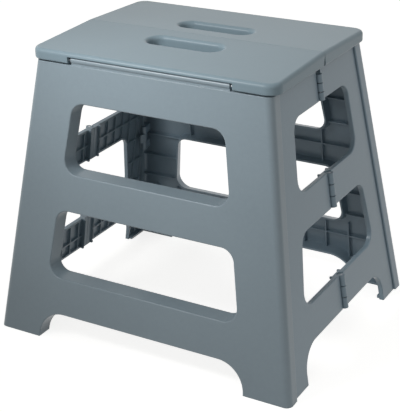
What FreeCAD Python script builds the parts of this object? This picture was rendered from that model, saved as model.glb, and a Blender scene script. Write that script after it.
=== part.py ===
import FreeCAD, Part
import math
import os

# Folding step stool: two long panels, four folding side halves and a two-piece seat.
# Millimetres, +Z up, +X along the long side, front at -Y, origin on the floor at the middle.

os.makedirs("parts", exist_ok=True)
Vector = FreeCAD.Vector

# Driving dimensions of the whole stool
height = 390.0
base_width = 444.0
base_depth = 370.0
leg_spread = 54.0
seat_end_overhang = 7.0
seat_front_overhang = 1.0
seat_crown = 4.0

# Seat mouldings
skirt_height = 14.5
seat_wall = 3.0
seat_corner_radius = 17.0
seat_edge_radius = 5.0
skirt_edge_radius = 2.5
seam_gap = 0.4
seam_relief = 5.0
seam_land = 3.0
seat_rib_height = 8.0
tab_length = 58.0
tab_gap = 4.0
slot_length = 106.0
slot_width = 30.0
slot_offset = 40.0

# Long panels
shoulder_drop = 16.0
panel_depth = 22.0
panel_wall = 3.0
panel_corner_radius = 9.0
panel_foot_width = 66.0
panel_arch_height = 39.0
panel_arch_radius = 38.0
panel_post_width = 65.6
panel_top_wall = 63.0
panel_middle_bar = 50.0
panel_bottom_wall = 51.0
window_radius = 19.0
window_edge_radius = 1.5
front_rim_draft = 4.0
rear_rim_depth = 15.0
rear_rim_draft = 14.0
rim_edge_radius = 1.5

# Side halves
side_thickness = 11.0
side_recess = 3.0
side_gap = 0.6
side_top_drop = 18.0
side_foot_reach = 61.0
side_floor_gap = 0.5
side_arch_height = 48.0
side_arch_radius = 34.0
side_rim_depth = 6.5
side_top_wall = 41.0
side_middle_bar = 48.0
side_bottom_wall = 49.0
side_post_widths = ((62.3, 59.2), (61.0, 65.3))

# Ribs inside the mouldings
rib_thickness = 2.0
rib_height = 5.5
rib_lift = 4.5
panel_rib_pitch = 36.0
side_rib_pitch = 20.0
seat_rib_pitch = 31.0
rib_level_pitch = 36.4

# Hinges
pin_radius = 1.5
running_clearance = 0.08
knuckle_gap = 0.4
barrel_radius = 4.0
barrel_rise = 6.0
lip_clearance = 0.6
corner_knuckle_radius = 4.5
corner_clearance = 0.6
corner_hinge_setback = 1.0
corner_hinge_drop = 90.0
corner_hinge_rise = 50.0
panel_knuckle_length = 12.0
side_knuckle_length = 14.0
loose_pivot_clearance = 1.1
mid_knuckle_radius = 4.7
mid_groove_radius = 6.4
mid_knuckle_gap = 1.2
mid_axis_lift = 0.3
mid_hinge_margin = 1.0
mid_hinge_drop = 7.0
mid_backing_width = 10.0
mid_backing_depth = 8.5
lug_clearance = 0.5
centre_lug_radius = 6.5
centre_lug_length = 8.0
centre_lug_place = 105.0
centre_pin_play = 3.2

# Derived places
shoulder_height = height - shoulder_drop
slope = leg_spread / shoulder_height
lean = math.atan(slope)
lean_cos = math.cos(lean)
lean_degrees = math.degrees(lean)
shoulder_width = base_width - 2 * leg_spread
shoulder_depth = base_depth - 2 * leg_spread
skirt_bottom = height - skirt_height
seat_axis_y = shoulder_depth / 2 - barrel_radius
seat_axis_z = shoulder_height + barrel_rise
seat_width = shoulder_width + 2 * seat_end_overhang
seat_depth = shoulder_depth + 2 * seat_front_overhang
tab_inner_x = seat_width / 2 - tab_length
corner_depth = panel_depth + corner_hinge_setback
corner_inset = side_recess + side_thickness
side_top = height - side_top_drop
corner_top_level = height - corner_hinge_drop
corner_levels = (corner_top_level, (corner_top_level + corner_hinge_rise) / 2, corner_hinge_rise)
bore_radius = pin_radius + running_clearance
level_names = ("top", "middle", "bottom")
reach = 2000.0


def stacked_windows(bottom, bar, top):
    """Upper and lower window of equal height, with a bar between them."""
    tall = (top - bottom - bar) / 2
    return [(top - tall, top), (bottom, bottom + tall)]


panel_sill = panel_arch_height + panel_bottom_wall
side_sill = side_arch_height + side_bottom_wall
panel_windows = stacked_windows(panel_sill, panel_middle_bar, height - panel_top_wall)
side_windows = stacked_windows(side_sill, side_middle_bar, side_top - side_top_wall)
rib_middle = (panel_windows[0][0] + panel_windows[1][1]) / 2 + rib_lift
mid_spans = [
    (side_windows[0][1] + mid_hinge_margin, side_top - mid_hinge_drop),
    (side_windows[1][1] + mid_hinge_margin, side_windows[0][0] - mid_hinge_margin),
    (side_arch_height + mid_hinge_margin, side_windows[1][0] - mid_hinge_margin),
]


# Basic shapes

def box(x0, x1, y0, y1, z0, z1):
    return Part.makeBox(x1 - x0, y1 - y0, z1 - z0, Vector(x0, y0, z0))


def rod(start, end, radius):
    along = end - start
    return Part.makeCylinder(radius, along.Length, start, along)


def rounded_face(corners, radii):
    """Closed face through the corners, each corner rounded by its own radius."""
    edges = []
    starts = []
    count = len(corners)
    for index in range(count):
        corner = corners[index]
        back = corners[index - 1] - corner
        ahead = corners[(index + 1) % count] - corner
        half = back.getAngle(ahead) / 2
        back.normalize()
        ahead.normalize()
        trim = radii[index] / math.tan(half)
        bisector = (back + ahead).normalize()
        middle = corner + bisector * (radii[index] / math.sin(half) - radii[index])
        starts.append((corner + back * trim, middle, corner + ahead * trim))
    for index in range(count):
        first, middle, last = starts[index]
        if radii[index] > 0:
            edges.append(Part.Arc(first, middle, last).toShape())
        edges.append(Part.makeLine(last, starts[(index + 1) % count][0]))
    return Part.Face(Part.Wire(edges))


def fused(shapes):
    first, *others = shapes
    return first.fuse(others) if others else first


def half_turn(shape):
    """The same moulding on the opposite side of the stool."""
    turned = shape.copy()
    turned.rotate(Vector(0, 0, 0), Vector(0, 0, 1), 180)
    return turned


def edges_where(shape, test):
    return [edge for edge in shape.Edges if all(test(vertex.Point) for vertex in edge.Vertexes)]


def full_height(edges):
    return [edge for edge in edges if edge.BoundBox.ZLength > shoulder_height]


# Hinge axes, given by the height above the floor

def corner_axis(level):
    x = base_width / 2 - slope * level - corner_inset / lean_cos
    y = base_depth / 2 - slope * level - corner_depth / lean_cos
    return Vector(x, -y, level)


def mid_axis(level):
    x = base_width / 2 - slope * level - (side_recess - mid_axis_lift) / lean_cos
    return Vector(x, 0, level)


def seat_axis(x):
    return Vector(x, -seat_axis_y, seat_axis_z)


def centre_axis(x):
    return Vector(x, 0, skirt_bottom + 0.5)


def corner_spans(level):
    """Heights of the lower panel, side and upper panel knuckles of one corner hinge."""
    half = side_knuckle_length / 2
    far = half + knuckle_gap + panel_knuckle_length
    lower = (level - far, level - half - knuckle_gap)
    upper = (level + half + knuckle_gap, level + far)
    return lower, (level - half, level + half), upper


def mid_knuckles(span):
    """Three equal knuckles sharing one bar of the side hinge, bottom to top."""
    bottom, top = span
    length = (top - bottom - 2 * mid_knuckle_gap) / 3
    starts = [bottom + index * (length + mid_knuckle_gap) for index in range(3)]
    return [(start, start + length) for start in starts]


def hinge_prism(start, end, outline):
    """Prism along a hinge axis; the outline is given outward and inward from that axis."""
    along = end - start
    axis = Vector(along).normalize()
    outward = (Vector(1, 0, 0) - axis * axis.x).normalize()
    inward = axis.cross(outward)
    points = [start + outward * out + inward * deep for out, deep in outline]
    return Part.Face(Part.makePolygon(points + points[:1])).extrude(along)


def corner_prism(span, outline):
    return hinge_prism(corner_axis(span[0]), corner_axis(span[1]), outline)


def rib_levels(top):
    """Heights of the level ribs, counted both ways from the bar between the windows."""
    below = int(rib_middle / rib_level_pitch)
    above = int((top - rib_middle) / rib_level_pitch)
    return [rib_middle + step * rib_level_pitch for step in range(-below, above + 1)]


# Long panel: a tray with a deep rim, two framed windows, feet and a rib grid

def panel_point(x, level):
    return Vector(x, 0, level / lean_cos)


def panel_half_width(level):
    return base_width / 2 - slope * level


def panel_outline():
    low = -20.0
    high = shoulder_height + 20.0
    foot = base_width / 2 - panel_foot_width
    corners = [
        panel_point(-panel_half_width(low), low),
        panel_point(-foot, low),
        panel_point(-foot, panel_arch_height),
        panel_point(foot, panel_arch_height),
        panel_point(foot, low),
        panel_point(panel_half_width(low), low),
        panel_point(panel_half_width(high), high),
        panel_point(-panel_half_width(high), high),
    ]
    arch = panel_arch_radius
    return rounded_face(corners, [0, 0, arch, arch, 0, 0, 0, 0])


def panel_window(window, margin):
    bottom, top = window
    bottom_half = panel_half_width(bottom) - panel_post_width
    top_half = panel_half_width(top) - panel_post_width
    corners = [
        panel_point(-bottom_half - margin, bottom - margin),
        panel_point(bottom_half + margin, bottom - margin),
        panel_point(top_half + margin, top + margin),
        panel_point(-top_half - margin, top + margin),
    ]
    return rounded_face(corners, [window_radius + margin] * 4)


def window_funnel(window, margin, draft):
    """Prism through a window, level from front to back and narrower inwards by the draft in degrees."""
    depth = panel_depth + panel_wall
    outer = panel_window(window, margin).OuterWire
    inner = panel_window(window, margin - depth * math.tan(math.radians(draft))).OuterWire
    inner.translate(Vector(0, depth, depth * slope))
    return Part.makeLoft([outer, inner], True, True)


def panel_ribs(cavity):
    ribs = []
    floor = panel_wall - 1.0
    top = panel_wall + rib_height
    columns = int(base_width / 2 / panel_rib_pitch)
    post = panel_half_width(panel_sill) - panel_post_width
    for column in range(-columns, columns + 1):
        x = column * panel_rib_pitch
        on_bars = column % 2 == 1 and abs(x) < post
        high = reach if on_bars else panel_sill
        ribs.append(box(x - rib_thickness / 2, x + rib_thickness / 2, floor, top, 0, high))
    for level in rib_levels(shoulder_height):
        z = level / lean_cos
        ribs.append(box(-reach, reach, floor, top, z - rib_thickness / 2, z + rib_thickness / 2))
    return fused(ribs).common(cavity)


def on_panel_opening(point):
    """True on the outer face, along the windows and the arch."""
    level = point.z * lean_cos
    in_arch = level < panel_arch_height + 0.1 and abs(point.x) < base_width / 2 - panel_foot_width + 0.1
    inside = abs(point.x) < panel_half_width(level) - panel_post_width + 0.1
    in_window = any(low - 0.1 < level < high + 0.1 for low, high in panel_windows) and inside
    return abs(point.y) < 0.01 and (in_arch or in_window)


def panel_tray(rim_depth, rim_draft):
    """The moulding without its hinges, with window rims of the given depth and draft."""
    outline = panel_outline()
    block = outline.extrude(Vector(0, panel_depth, 0))
    sides = full_height(edges_where(block, lambda p: abs(p.y) < 0.01))
    block = block.makeFillet(panel_corner_radius, sides)
    rims = full_height(edges_where(block, lambda p: abs(p.y - panel_depth) < 0.01))
    block = block.makeFillet(rim_edge_radius, rims)
    cavity = outline.makeOffset2D(-panel_wall).extrude(Vector(0, panel_depth, 0))
    cavity.translate(Vector(0, panel_wall, 0))
    corner_fill = panel_corner_radius - panel_wall
    sides = full_height(edges_where(cavity, lambda p: abs(p.y - panel_wall) < 0.01))
    cavity = cavity.makeFillet(corner_fill, sides)
    cavity = cavity.common(box(-reach, reach, 0, reach, 2 * panel_wall, shoulder_height - panel_wall))
    rims = [window_funnel(window, panel_wall, rim_draft) for window in panel_windows]
    cavity = cavity.cut(rims)
    tray = block.cut(cavity.cut(panel_ribs(cavity)))
    above_rims = box(-reach, reach, rim_depth, reach, -reach, reach)
    tray = tray.cut([rim.common(above_rims) for rim in rims])
    tray = tray.cut([window_funnel(window, 0, rim_draft) for window in panel_windows])
    openings = edges_where(tray, on_panel_opening)
    tray = tray.makeFillet(window_edge_radius, openings)
    tray.rotate(Vector(0, 0, 0), Vector(1, 0, 0), -lean_degrees)
    tray.translate(Vector(0, -base_depth / 2, 0))
    return tray.common(box(-reach, reach, -reach, reach, 0, shoulder_height))


def seat_barrel():
    half = tab_inner_x - tab_gap
    barrel = rod(seat_axis(-half), seat_axis(half), barrel_radius)
    front = -seat_axis_y - barrel_radius + 1.5
    back = -seat_axis_y + barrel_radius - 1.0
    web = box(-half, half, front, back, shoulder_height - panel_wall, seat_axis_z)
    return barrel.fuse(web)


def panel_corner_hinge():
    """Knuckles of the right-hand corner, on brackets from the side return."""
    pieces = []
    bracket = [(-3.5, -11.0), (12.0, -11.0), (12.0, -1.2), (4.0, -1.2), (4.0, 0.0), (-4.0, 0.0)]
    for level in corner_levels:
        lower, middle, upper = corner_spans(level)
        for span in (lower, upper):
            pieces.append(corner_prism(span, bracket))
            pieces.append(rod(corner_axis(span[0]), corner_axis(span[1]), corner_knuckle_radius))
    return fused(pieces)


def corner_bores(radius):
    spans = [corner_spans(level) for level in corner_levels]
    return fused([rod(corner_axis(low[0] - 1), corner_axis(top[1] + 1), radius) for low, mid, top in spans])


def mirrored(shape):
    return shape.mirror(Vector(0, 0, 0), Vector(1, 0, 0))


def long_panel(rim_depth, rim_draft):
    right = panel_corner_hinge()
    panel = panel_tray(rim_depth, rim_draft).fuse([seat_barrel(), right, mirrored(right)])
    bores = corner_bores(bore_radius)
    seat_bore = rod(seat_axis(-seat_width), seat_axis(seat_width), bore_radius)
    return panel.cut([bores, mirrored(bores), seat_bore]).removeSplitter()


# Side half: a thin ribbed plate with half of each side window, corner knuckles and mid knuckles

def side_edge(level):
    return base_depth / 2 - slope * level - (panel_depth + corner_clearance) / lean_cos


def side_point(y, level):
    return Vector(0, y, level / lean_cos)


def side_opening(bottom, bottom_half, top, top_half, radius, margin):
    corners = [
        side_point(-bottom_half - margin, bottom - margin),
        side_point(bottom_half + margin, bottom - margin),
        side_point(top_half + margin, top + margin),
        side_point(-top_half - margin, top + margin),
    ]
    return rounded_face(corners, [radius + margin] * 4)


def side_openings(margin):
    """Faces of the arch and the windows, grown by the margin."""
    foot = base_depth / 2 - side_foot_reach
    faces = [side_opening(-100.0, foot, side_arch_height, foot, side_arch_radius, margin)]
    for (bottom, top), (bottom_post, top_post) in zip(side_windows, side_post_widths):
        bottom_half = base_depth / 2 - slope * bottom - bottom_post
        top_half = base_depth / 2 - slope * top - top_post
        faces.append(side_opening(bottom, bottom_half, top, top_half, window_radius, margin))
    return faces


def on_side_opening(point):
    """True on the outer face of a side half, away from its outer edges."""
    level = point.z * lean_cos
    inside = -side_edge(level) + 5.0 < point.y and level < side_top - 5.0
    return abs(point.x) < 0.01 and inside


def side_face(margin):
    """Outline of the front half, shrunk by the margin and cut by its windows and arch."""
    low = -10.0
    top = side_top - margin
    seam = -side_gap / 2 - (mid_backing_width if margin else 0)
    corners = [
        side_point(-side_edge(low) + margin, low),
        side_point(seam, low),
        side_point(seam, top),
        side_point(-side_edge(top) + margin, top),
    ]
    face = rounded_face(corners, [0, 0, 0, 0])
    for opening in side_openings(margin):
        face = face.cut(opening)
    return face


def side_ribs(cavity):
    ribs = []
    inner = -side_rim_depth
    columns = int(base_depth / 2 / side_rib_pitch)
    for column in range(1, columns + 1):
        y = -column * side_rib_pitch
        ribs.append(box(inner, 0, y - rib_thickness / 2, y + rib_thickness / 2, 0, reach))
    for level in rib_levels(side_top):
        z = level / lean_cos
        ribs.append(box(inner, 0, -reach, reach, z - rib_thickness / 2, z + rib_thickness / 2))
    return fused(ribs).common(cavity)


def side_plate():
    plate = side_face(0).extrude(Vector(-side_thickness, 0, 0))
    cavity = side_face(panel_wall).extrude(Vector(-side_thickness, 0, 0))
    cavity.translate(Vector(-panel_wall, 0, 0))
    cavity = cavity.common(box(-reach, 0, -reach, 0, 2 * panel_wall, reach))
    plate = plate.cut(cavity.cut(side_ribs(cavity)))
    inner_side = box(-reach, -side_rim_depth, -reach, -mid_backing_width - panel_wall, -reach, reach)
    for opening in side_openings(panel_wall):
        plate = plate.cut(opening.extrude(Vector(-side_thickness, 0, 0)).common(inner_side))
    plate = plate.cut(box(-reach, -mid_backing_depth, -mid_backing_width, reach, -reach, reach))
    seam = -side_gap / 2 - 0.01
    edges = edges_where(plate, on_side_opening)
    edges = [edge for edge in edges if edge.BoundBox.YMax < seam or edge.BoundBox.YLength > 1.0]
    plate = plate.makeFillet(window_edge_radius, edges)
    plate.rotate(Vector(0, 0, 0), Vector(0, 1, 0), -lean_degrees)
    plate.translate(Vector(base_width / 2 - side_recess / lean_cos, 0, 0))
    return plate.common(box(-reach, reach, -reach, reach, side_floor_gap, reach))


def side_half(owned_knuckles, corner_bore):
    """Front half of the right side; owned_knuckles are its places in each set of three."""
    half = side_plate()
    gusset = [(-4.4, 0.0), (-4.2, 2.0), (0.5, 10.0), (0.5, 0.0)]
    web_back = -mid_groove_radius - 1.0
    web_side = -mid_groove_radius - 1.0
    web = [(-3.2, -side_gap / 2), (web_back, -side_gap / 2), (web_back, web_side), (-3.2, web_side)]
    notches = [rod(mid_axis(-height), mid_axis(2 * height), mid_groove_radius)]
    hinge_top = mid_spans[0][1] + knuckle_gap
    notches.append(box(0, reach, -mid_groove_radius, reach, hinge_top, reach))
    knuckles = []
    for level in corner_levels:
        lower, middle, upper = corner_spans(level)
        for bottom, top in (lower, upper):
            start = corner_axis(bottom - knuckle_gap)
            end = corner_axis(top + knuckle_gap)
            notches.append(rod(start, end, corner_knuckle_radius + corner_clearance))
        knuckles.append(rod(corner_axis(middle[0]), corner_axis(middle[1]), corner_knuckle_radius))
        knuckles.append(corner_prism(middle, gusset))
    for span in mid_spans:
        for place, (bottom, top) in enumerate(mid_knuckles(span)):
            if place in owned_knuckles:
                knuckles.append(rod(mid_axis(bottom), mid_axis(top), mid_knuckle_radius))
                knuckles.append(hinge_prism(mid_axis(bottom), mid_axis(top), web))
    half = half.cut(notches).fuse(knuckles)
    bores = [corner_bores(corner_bore)]
    for bottom, top in mid_spans:
        bores.append(rod(mid_axis(bottom - 1), mid_axis(top + 1), bore_radius))
    return half.cut(bores).removeSplitter()


# Seat half: a crowned shell with a rounded edge, a hand slot, hinge tabs and a ribbed underside

def seat_top(y):
    return height + seat_crown * (1 + y / (seat_depth / 2))


def seat_plan(margin, back):
    half_x = seat_width / 2 - margin
    front = -seat_depth / 2 + margin
    corners = [
        Vector(-half_x, front, 0),
        Vector(half_x, front, 0),
        Vector(half_x, back, 0),
        Vector(-half_x, back, 0),
    ]
    radius = seat_corner_radius - margin
    return rounded_face(corners, [radius, radius, 0, 0]).extrude(Vector(0, 0, reach))


def seat_profile(points):
    outline = [Vector(-reach, y, z) for y, z in points]
    return Part.Face(Part.makePolygon(outline + outline[:1])).extrude(Vector(2 * reach, 0, 0))


def slot_prism(margin):
    half_x = slot_length / 2 + margin
    half_y = slot_width / 2 + margin
    corners = [
        Vector(-half_x, -slot_offset - half_y, 0),
        Vector(half_x, -slot_offset - half_y, 0),
        Vector(half_x, -slot_offset + half_y, 0),
        Vector(-half_x, -slot_offset + half_y, 0),
    ]
    return rounded_face(corners, [half_y - 0.01] * 4).extrude(Vector(0, 0, reach))


def seat_block():
    front = -seat_depth / 2
    seam = -seam_gap / 2
    tight = height + seat_crown - seam_land
    profile = seat_profile([
        (front, skirt_bottom), (front, seat_top(front)), (seam, seat_top(seam)),
        (seam, tight), (seam - seam_relief / 2, skirt_bottom),
    ])
    block = profile.common(seat_plan(0, 0)).cut(slot_prism(0))

    def on_top(point):
        return abs(point.z - seat_top(point.y)) < 0.01 and point.y < seam - 0.5

    def on_skirt(point):
        return abs(point.z - skirt_bottom) < 0.01 and point.y < front + seat_corner_radius + 0.5

    seam_side = [edge for edge in block.Edges if edge.BoundBox.YMax > seam - 0.5]
    tops = edges_where(block, on_top)
    for edge in seam_side:
        along_side = edge.BoundBox.YLength > seat_depth / 4 and edge.BoundBox.ZMin > height - 0.01
        if along_side and edge.BoundBox.XLength < 0.01:
            tops.append(edge)
    block = block.makeFillet(seat_edge_radius, tops)
    return block.makeFillet(skirt_edge_radius, edges_where(block, on_skirt))


def seat_keep():
    """What stays solid inside the shell: slot wall, hinge wall, tab lugs and ribs."""
    front = -seat_depth / 2
    hinge_back = -seat_axis_y + barrel_radius + 2.0
    keep = [slot_prism(seat_wall)]
    wall_end = tab_inner_x + seat_wall
    keep.append(box(-wall_end, wall_end, hinge_back, hinge_back + seat_wall, 0, reach))
    for side in (-1, 1):
        near = side * tab_inner_x
        far = side * (tab_inner_x + 4 * seat_wall)
        keep.append(box(min(near, far), max(near, far), front, hinge_back + seat_wall, 0, reach))
    rib_bottom = height - seat_wall - seat_rib_height
    columns = int(seat_width / 2 / panel_rib_pitch)
    for column in range(-columns, columns + 1):
        x = column * panel_rib_pitch
        keep.append(box(x - rib_thickness / 2, x + rib_thickness / 2, hinge_back, 0, rib_bottom, reach))
    rows = int(seat_depth / 2 / seat_rib_pitch)
    for row in range(1, rows + 1):
        y = -row * seat_rib_pitch
        keep.append(box(-reach, reach, y - rib_thickness / 2, y + rib_thickness / 2, rib_bottom, reach))
    return fused(keep)


def centre_spans():
    """Outer, middle and inner lugs of the right-hand centre hinge, from left to right."""
    pitch = centre_lug_length + knuckle_gap
    first = centre_lug_place - 1.5 * centre_lug_length - knuckle_gap
    return [(first + index * pitch, first + index * pitch + centre_lug_length) for index in range(3)]


def seat_half(owned_lugs, centre_bore):
    """Front half of the seat; owned_lugs are its places in each set of three centre lugs."""
    front = -seat_depth / 2
    hollow = seat_profile([
        (front + seat_wall, 0), (front + seat_wall, seat_top(front + seat_wall) - seat_wall),
        (-seam_relief / 2 - seat_wall, seat_top(-seam_relief / 2 - seat_wall) - seat_wall),
        (-seam_relief / 2 - seat_wall, 0),
    ])
    hollow = hollow.common(seat_plan(seat_wall, 0)).cut(seat_keep())
    half = seat_block().cut(hollow)
    hinge_back = -seat_axis_y + barrel_radius + 2.0
    lip_bottom = seat_axis_z + barrel_radius + lip_clearance
    half = half.cut(box(-tab_inner_x, tab_inner_x, -reach, hinge_back, 0, lip_bottom))
    lugs = []
    notches = []
    for place, (start, end) in enumerate(centre_spans()):
        for side in (-1, 1):
            near = centre_axis(side * start)
            far = centre_axis(side * end)
            if place in owned_lugs:
                lugs.append(rod(near, far, centre_lug_radius))
            else:
                spread = Vector(side * knuckle_gap, 0, 0)
                notches.append(rod(near - spread, far + spread, centre_lug_radius + lug_clearance))
    half = half.cut(notches).fuse(lugs)
    bore_end = tab_inner_x + 3 * seat_wall
    bores = [rod(seat_axis(-bore_end), seat_axis(bore_end), bore_radius)]
    spans = centre_spans()
    for side in (-1, 1):
        start = centre_axis(side * (spans[0][0] - 1))
        end = centre_axis(side * (spans[2][1] + 1))
        bores.append(rod(start, end, centre_bore))
    return half.cut(bores).removeSplitter()


# Pins and rods

def seat_rod():
    half = tab_inner_x + 3 * seat_wall - 0.2
    return rod(seat_axis(-half), seat_axis(half), pin_radius)


def centre_pin(side):
    spans = centre_spans()
    return rod(centre_axis(side * spans[0][0]), centre_axis(side * spans[2][1]), pin_radius)


def corner_pin(level):
    lower, middle, upper = corner_spans(level)
    return rod(corner_axis(lower[0]), corner_axis(upper[1]), pin_radius)


def mid_pin(span):
    return rod(mid_axis(span[0]), mid_axis(span[1]), pin_radius)


# The whole stool

def front_to_back(shape):
    return shape.mirror(Vector(0, 0, 0), Vector(0, 1, 0))


loose_bore = pin_radius + loose_pivot_clearance
front_panel = long_panel(panel_depth, front_rim_draft)
rear_panel = long_panel(rear_rim_depth, rear_rim_draft)
outer_half = side_half((0, 2), bore_radius)
inner_half = side_half((1,), bore_radius)
loose_half = side_half((1,), loose_bore)

parts = {
    "front_panel": front_panel,
    "rear_panel": half_turn(rear_panel),
    "seat_front_half": seat_half((0, 2), bore_radius),
    "seat_rear_half": half_turn(seat_half((1,), pin_radius + centre_pin_play)),
    "side_right_front": outer_half,
    "side_right_rear": front_to_back(inner_half),
    "side_left_front": mirrored(outer_half),
    "side_left_rear": half_turn(loose_half),
    "seat_front_rod": seat_rod(),
    "seat_rear_rod": half_turn(seat_rod()),
    "seat_centre_pin_right": centre_pin(1),
    "seat_centre_pin_left": centre_pin(-1),
}
for name, level in zip(level_names, corner_levels):
    pin = corner_pin(level)
    parts["corner_front_right_pin_" + name] = pin
    parts["corner_front_left_pin_" + name] = mirrored(pin)
    parts["corner_rear_right_pin_" + name] = front_to_back(pin)
    parts["corner_rear_left_pin_" + name] = half_turn(pin)
for name, span in zip(level_names, mid_spans):
    pin = mid_pin(span)
    parts["side_right_pin_" + name] = pin
    parts["side_left_pin_" + name] = mirrored(pin)

for name, shape in parts.items():
    shape.exportStep("parts/" + name + ".step")
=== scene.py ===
import math

import bpy
import bmesh
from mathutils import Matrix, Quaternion, Vector

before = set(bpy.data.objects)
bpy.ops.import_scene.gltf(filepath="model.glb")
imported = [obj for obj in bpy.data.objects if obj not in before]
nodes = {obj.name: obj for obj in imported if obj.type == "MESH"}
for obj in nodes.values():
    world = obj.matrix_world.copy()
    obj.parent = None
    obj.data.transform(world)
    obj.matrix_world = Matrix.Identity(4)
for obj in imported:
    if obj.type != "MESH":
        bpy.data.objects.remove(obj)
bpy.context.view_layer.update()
scene = bpy.context.scene


# Long panels. The front and the rear of the stool are one deep tray moulding each, injection moulded in
# grey-blue polypropylene. The faces have a fine satin grain; the edges are slightly rounded and carry a
# painted highlight.
def noise(tree, place, scale, detail):
    """Noise that keeps its place on the piece, and is finer for a larger scale."""
    speckle = tree.nodes.new("ShaderNodeTexNoise")
    speckle.inputs["Scale"].default_value = scale
    speckle.inputs["Detail"].default_value = detail
    tree.links.new(place.outputs["Object"], speckle.inputs["Vector"])
    return speckle


def mapped(tree, source, low, high):
    """Node that turns a value between nought and one into one between low and high."""
    span = tree.nodes.new("ShaderNodeMapRange")
    span.inputs["To Min"].default_value = low
    span.inputs["To Max"].default_value = high
    tree.links.new(source, span.inputs["Value"])
    return span


def moulded_plastic(name, deep, pale, gloss):
    """Plastic that clouds softly between a deep and a pale shade, with a painted highlight on its edges and a
    fine grain.
    """
    polypropylene_ior = 1.49
    pigment_share = 0.35
    edge_radius = 0.0011
    flat_cosine = 0.995
    sharp_cosine = 0.75
    edge_highlight_share = 0.30
    edge_highlight_gain = 1.45
    grain_strength = 0.12
    grain_height = 0.0003
    smoothest, roughest = 0.27, 0.35

    material = bpy.data.materials.new(name)
    material.use_nodes = True
    tree = material.node_tree
    shader = tree.nodes["Principled BSDF"]
    shader.inputs["IOR"].default_value = polypropylene_ior
    shader.inputs["Specular IOR Level"].default_value = gloss
    place = tree.nodes.new("ShaderNodeTexCoord")

    flow = noise(tree, place, scale=6.0, detail=3.0)
    pigment = noise(tree, place, scale=190.0, detail=4.0)
    stir = tree.nodes.new("ShaderNodeMix")
    stir.inputs["Factor"].default_value = pigment_share
    tree.links.new(flow.outputs["Fac"], stir.inputs["A"])
    tree.links.new(pigment.outputs["Fac"], stir.inputs["B"])
    shade = tree.nodes.new("ShaderNodeValToRGB")
    shade.color_ramp.elements[0].position = 0.3
    shade.color_ramp.elements[0].color = (*deep, 1.0)
    shade.color_ramp.elements[1].position = 0.7
    shade.color_ramp.elements[1].color = (*pale, 1.0)
    tree.links.new(stir.outputs["Result"], shade.inputs["Fac"])

    # The edges come out of the mould slightly rounded, and a painted highlight makes them paler.
    rounding = tree.nodes.new("ShaderNodeBevel")
    rounding.samples = 6
    rounding.inputs["Radius"].default_value = edge_radius
    plain = tree.nodes.new("ShaderNodeNewGeometry")
    turn = tree.nodes.new("ShaderNodeVectorMath")
    turn.operation = "DOT_PRODUCT"
    tree.links.new(rounding.outputs["Normal"], turn.inputs[0])
    tree.links.new(plain.outputs["Normal"], turn.inputs[1])
    edge = mapped(tree, turn.outputs["Value"], 0.0, edge_highlight_share)
    edge.inputs["From Min"].default_value = flat_cosine
    edge.inputs["From Max"].default_value = sharp_cosine
    # Painted highlight: the rounded edges are mixed towards a paler colour.
    edge_highlight_mix = tree.nodes.new("ShaderNodeMix")
    edge_highlight_mix.data_type = "RGBA"
    edge_highlight_mix.inputs["B"].default_value = (*(min(1.0, edge_highlight_gain * c) for c in pale), 1.0)
    tree.links.new(edge.outputs["Result"], edge_highlight_mix.inputs["Factor"])
    tree.links.new(shade.outputs["Color"], edge_highlight_mix.inputs["A"])
    tree.links.new(edge_highlight_mix.outputs["Result"], shader.inputs["Base Color"])

    grain = noise(tree, place, scale=900.0, detail=3.0)
    grain.inputs["Roughness"].default_value = 0.6
    relief = tree.nodes.new("ShaderNodeBump")
    relief.inputs["Strength"].default_value = grain_strength
    relief.inputs["Distance"].default_value = grain_height
    tree.links.new(grain.outputs["Fac"], relief.inputs["Height"])
    tree.links.new(rounding.outputs["Normal"], relief.inputs["Normal"])
    tree.links.new(relief.outputs["Normal"], shader.inputs["Normal"])
    satin = mapped(tree, pigment.outputs["Fac"], smoothest, roughest)
    tree.links.new(satin.outputs["Result"], shader.inputs["Roughness"])
    return material


wall_gloss = 0.42
# The two panels' base colours differ slightly, each set to the tone it shows under this light: painted light
# and shade.
front_plastic = moulded_plastic("front_plastic", (0.229, 0.290, 0.330), (0.255, 0.320, 0.362), wall_gloss)
rear_plastic = moulded_plastic("rear_plastic", (0.226, 0.302, 0.360), (0.251, 0.333, 0.396), wall_gloss)
for name, plastic in (("front_panel", front_plastic), ("rear_panel", rear_plastic)):
    nodes[name].data.materials.clear()
    nodes[name].data.materials.append(plastic)


# Side walls. Each end of the stool is two thinner ribbed plates of the same plastic, joined by moulded
# knuckles on three pins down the middle and by pins to the long panels at the corners.
# The sides' base colour is set to the tone they show under this light, a little apart from the panels':
# painted light and shade.
side_plastic = moulded_plastic("side_plastic", (0.210, 0.284, 0.338), (0.234, 0.314, 0.371), wall_gloss)
for end in ("right", "left"):
    for half in ("front", "rear"):
        plate = nodes["side_" + end + "_" + half]
        plate.data.materials.clear()
        plate.data.materials.append(side_plastic)


# Seat. Two shallow trays meet along the middle of the seat, each with a hand slot whose rim is rolled down.
# Each turns on a rod through the barrel along the top of its long panel. The seat is more matt than the walls.
seat_gloss = 0.20
# The seat's base colour is set to the tone it shows under this light: painted light and shade.
seat_plastic = moulded_plastic("seat_plastic", (0.212, 0.286, 0.328), (0.236, 0.316, 0.362), seat_gloss)
for half in ("front", "rear"):
    tray = nodes["seat_" + half + "_half"]
    tray.data.materials.clear()
    tray.data.materials.append(seat_plastic)


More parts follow.
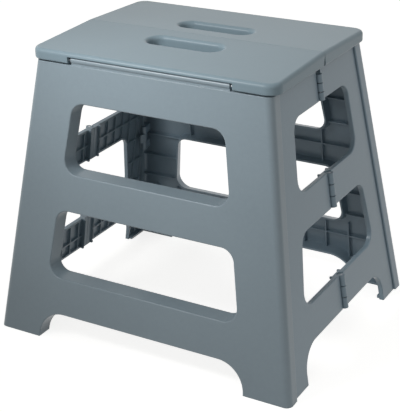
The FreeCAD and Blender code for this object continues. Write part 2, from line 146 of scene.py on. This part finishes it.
# Rods and pins. Straight lengths of drawn steel wire, pressed into one side of each hinge and turning in the
# other, with a faintly mottled sheen.
dull_steel = (0.48, 0.49, 0.51, 1.0)
bright_steel = (0.66, 0.67, 0.69, 1.0)
drawn_steel = bpy.data.materials.new("drawn_steel")
drawn_steel.use_nodes = True
wire_tree = drawn_steel.node_tree
wire_shader = wire_tree.nodes["Principled BSDF"]
wire_shader.inputs["Metallic"].default_value = 1.0
wire_place = wire_tree.nodes.new("ShaderNodeTexCoord")
mottle = noise(wire_tree, wire_place, scale=700.0, detail=3.0)
wire_shade = wire_tree.nodes.new("ShaderNodeValToRGB")
wire_shade.color_ramp.elements[0].color = dull_steel
wire_shade.color_ramp.elements[1].color = bright_steel
wire_tree.links.new(mottle.outputs["Fac"], wire_shade.inputs["Fac"])
wire_tree.links.new(wire_shade.outputs["Color"], wire_shader.inputs["Base Color"])
wire_sheen = mapped(wire_tree, mottle.outputs["Fac"], 0.24, 0.42)
wire_tree.links.new(wire_sheen.outputs["Result"], wire_shader.inputs["Roughness"])
for name in nodes:
    if "_pin_" in name or name.endswith("_rod"):
        nodes[name].data.materials.clear()
        nodes[name].data.materials.append(drawn_steel)


# Floor. A broad sheet of pale paper under the stool. It is plain white to the camera and in reflections, and
# keeps the soft shade that the stool throws round its feet.
def seen_rays(tree):
    """One for camera, glossy and transmission rays, nought for the light that spreads."""
    path = tree.nodes.new("ShaderNodeLightPath")
    seen = path.outputs["Is Camera Ray"]
    for kind in ("Is Glossy Ray", "Is Transmission Ray"):
        either = tree.nodes.new("ShaderNodeMath")
        either.operation = "MAXIMUM"
        tree.links.new(seen, either.inputs[0])
        tree.links.new(path.outputs[kind], either.inputs[1])
        seen = either.outputs["Value"]
    return seen


floor_reach = 6.0
floor_mesh = bpy.data.meshes.new("floor")
sheet = bmesh.new()
bmesh.ops.create_grid(sheet, x_segments=1, y_segments=1, size=floor_reach)
sheet.to_mesh(floor_mesh)
sheet.free()
floor = bpy.data.objects.new("floor", floor_mesh)
scene.collection.objects.link(floor)

paper_grey = (0.52, 0.52, 0.515, 1.0)
warm_white = (1.0, 0.995, 0.985, 1.0)
paper_seen = 0.82
floor_paper = bpy.data.materials.new("floor_paper")
floor_paper.use_nodes = True
paper_tree = floor_paper.node_tree
paper_tree.nodes.remove(paper_tree.nodes["Principled BSDF"])
paper = paper_tree.nodes.new("ShaderNodeBsdfDiffuse")
paper.inputs["Color"].default_value = paper_grey
paper_glow = paper_tree.nodes.new("ShaderNodeEmission")
paper_glow.inputs["Color"].default_value = warm_white
paper_level = mapped(paper_tree, seen_rays(paper_tree), 0.0, paper_seen)
paper_tree.links.new(paper_level.outputs["Result"], paper_glow.inputs["Strength"])
paper_sum = paper_tree.nodes.new("ShaderNodeAddShader")
paper_tree.links.new(paper.outputs["BSDF"], paper_sum.inputs[0])
paper_tree.links.new(paper_glow.outputs["Emission"], paper_sum.inputs[1])
paper_tree.links.new(paper_sum.outputs["Shader"], paper_tree.nodes["Material Output"].inputs["Surface"])
floor_mesh.materials.append(floor_paper)


# Light. An even pale room does most of the work, with weak broad softboxes in front and to the right. A small
# strip with a honeycomb grid over the front left picks out the front edge of the seat.
def softbox(name, place, aim, size, power, spread=180.0):
    """Rectangular lamp at a place, turned to its aim, with its size in metres and its spread in degrees."""
    lamp = bpy.data.lights.new(name, "AREA")
    lamp.shape = "RECTANGLE"
    lamp.size, lamp.size_y = size
    lamp.energy = power
    lamp.spread = math.radians(spread)
    box = bpy.data.objects.new(name, lamp)
    scene.collection.objects.link(box)
    box.location = place
    box.rotation_mode = "QUATERNION"
    box.rotation_quaternion = (Vector(aim) - Vector(place)).to_track_quat("-Z", "Y")


softbox("front_softbox", place=(-0.4, -2.0, 1.2), aim=(0.0, -0.15, 0.25), size=(1.2, 1.0), power=0.4)
softbox("right_softbox", place=(1.7, -0.1, 0.9), aim=(0.15, 0.0, 0.2), size=(1.2, 1.0), power=0.6)
softbox(
    "edge_strip", place=(-0.3, -0.62, 0.78), aim=(0.0, -0.13, 0.39), size=(0.34, 0.1), power=0.56, spread=60.0
)

room_lit = 0.43
room_seen = 1.0
room = bpy.data.worlds.new("room")
scene.world = room
room.use_nodes = True
room_tree = room.node_tree
room_light = room_tree.nodes["Background"]
room_light.inputs["Color"].default_value = warm_white
room_level = mapped(room_tree, seen_rays(room_tree), room_lit, room_seen)
room_tree.links.new(room_level.outputs["Result"], room_light.inputs["Strength"])


# Camera. It stands to the front right of the stool and a little above the seat, with a long lens, and it
# leans very slightly to one side.
azimuth = math.radians(30.17)
elevation = math.radians(24.33)
tilt = math.radians(-1.21)
distance = 1.6423
target = Vector((0.0, 0.0, 0.15067))
back = Vector((
    math.sin(azimuth) * math.cos(elevation),
    -math.cos(azimuth) * math.cos(elevation),
    math.sin(elevation),
))
lens = bpy.data.cameras.new("camera")
lens.lens = 104.72
lens.shift_x = -0.0106
lens.shift_y = 0.0021
camera = bpy.data.objects.new("camera", lens)
scene.collection.objects.link(camera)
camera.location = target + back * distance
camera.rotation_mode = "QUATERNION"
camera.rotation_quaternion = (-back).to_track_quat("-Z", "Y") @ Quaternion((0.0, 0.0, 1.0), tilt)
scene.camera = camera
scene.view_settings.view_transform = "Standard"
